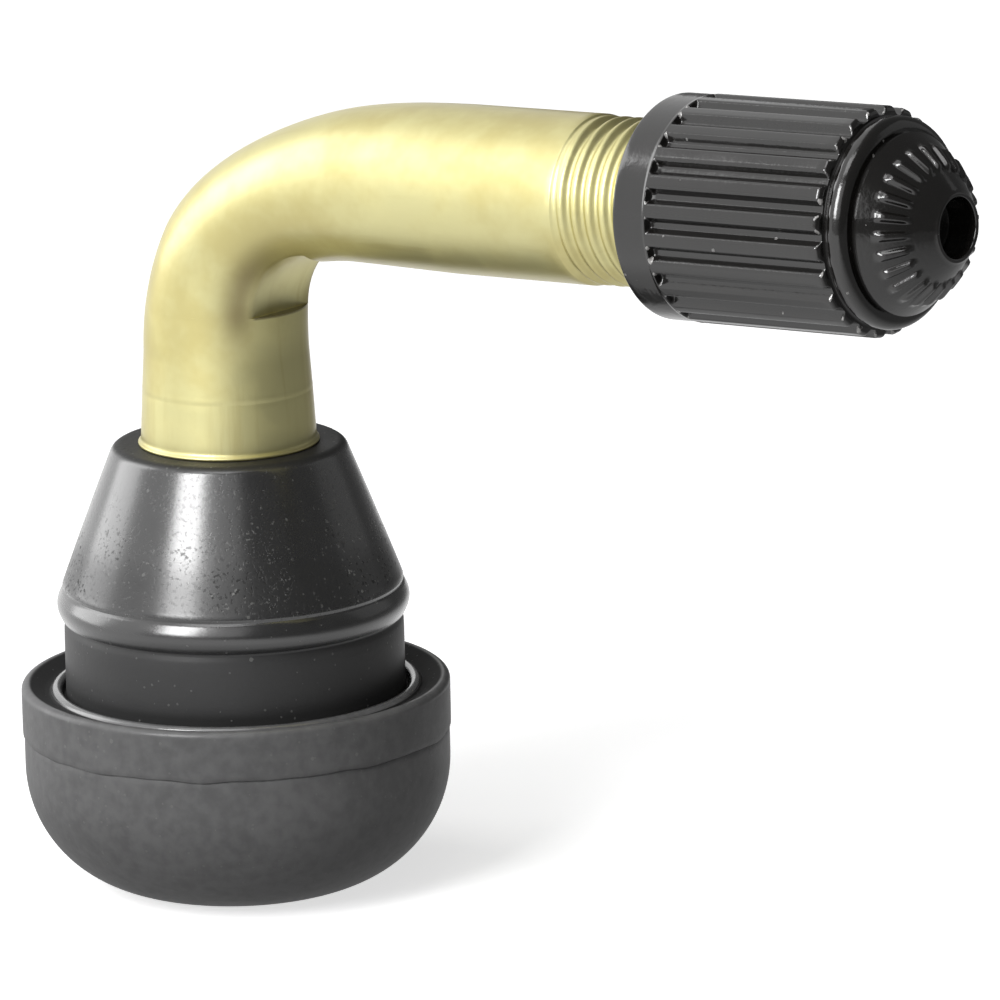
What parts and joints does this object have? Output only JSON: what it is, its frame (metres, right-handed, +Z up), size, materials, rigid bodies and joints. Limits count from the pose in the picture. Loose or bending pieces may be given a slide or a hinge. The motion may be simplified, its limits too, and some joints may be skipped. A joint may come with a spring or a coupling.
{
  "type": "tyre valve",
  "caption": "Snap-in tyre valve with a rubber base, a brass stem bent nearly square, a ribbed screw cap and a sprung valve core that a pin opens.",
  "frame": {"origin": "on the axis of the rubber base, in the plane of its underside, at the mouth of the air inlet", "axes": "+Z up the axis of the base, towards the outside of the rim; +X along the bent arm, which rises 2.9 degrees; +Y across"},
  "size_m": [0.0528, 0.0204, 0.0416],
  "materials": {
    "base_rubber": "satin",
    "stem_brass": "satin",
    "core_brass": "satin",
    "cap_plastic": "gloss",
    "seal_rubber": "matte",
    "red_rubber": "matte",
    "spring_steel": "bright"
  },
  "bodies": {
    "valve_body": {"rubber_base": "base_rubber", "stem": "stem_brass", "core_plug": "core_brass", "core_barrel": "core_brass", "barrel_seal": "red_rubber", "core_spring": "spring_steel"},
    "plunger": {"core_pin": "core_brass", "plunger_cup": "core_brass", "plunger_seal": "seal_rubber"},
    "washer": {"cap_seal": "seal_rubber"},
    "screw_cap": {"cap": "cap_plastic"}
  },
  "joints": [
    {"name": "cap_travel", "type": "slide", "parent": "valve_body", "child": "washer", "axis": [0.9987, 0, 0.0506], "range_m": [0, 0.00954]},
    {"name": "cap_turn", "type": "hinge", "parent": "washer", "child": "screw_cap", "pos_m": [0.03296, 0, 0.03621], "axis": [0.9987, 0, 0.0506], "range_deg": [0, 4320]},
    {"name": "pin_press", "type": "slide", "parent": "valve_body", "child": "plunger", "axis": [-0.9987, 0, -0.0506], "range_m": [0, 0.0013], "stiffness_N_per_m": 1200, "springref_m": -0.0015, "deforming": ["core_spring"]}
  ],
  "couplings": [
    {"joint": "cap_travel", "follows": "cap_turn", "m_per_rad": 0.00012633}
  ]
}
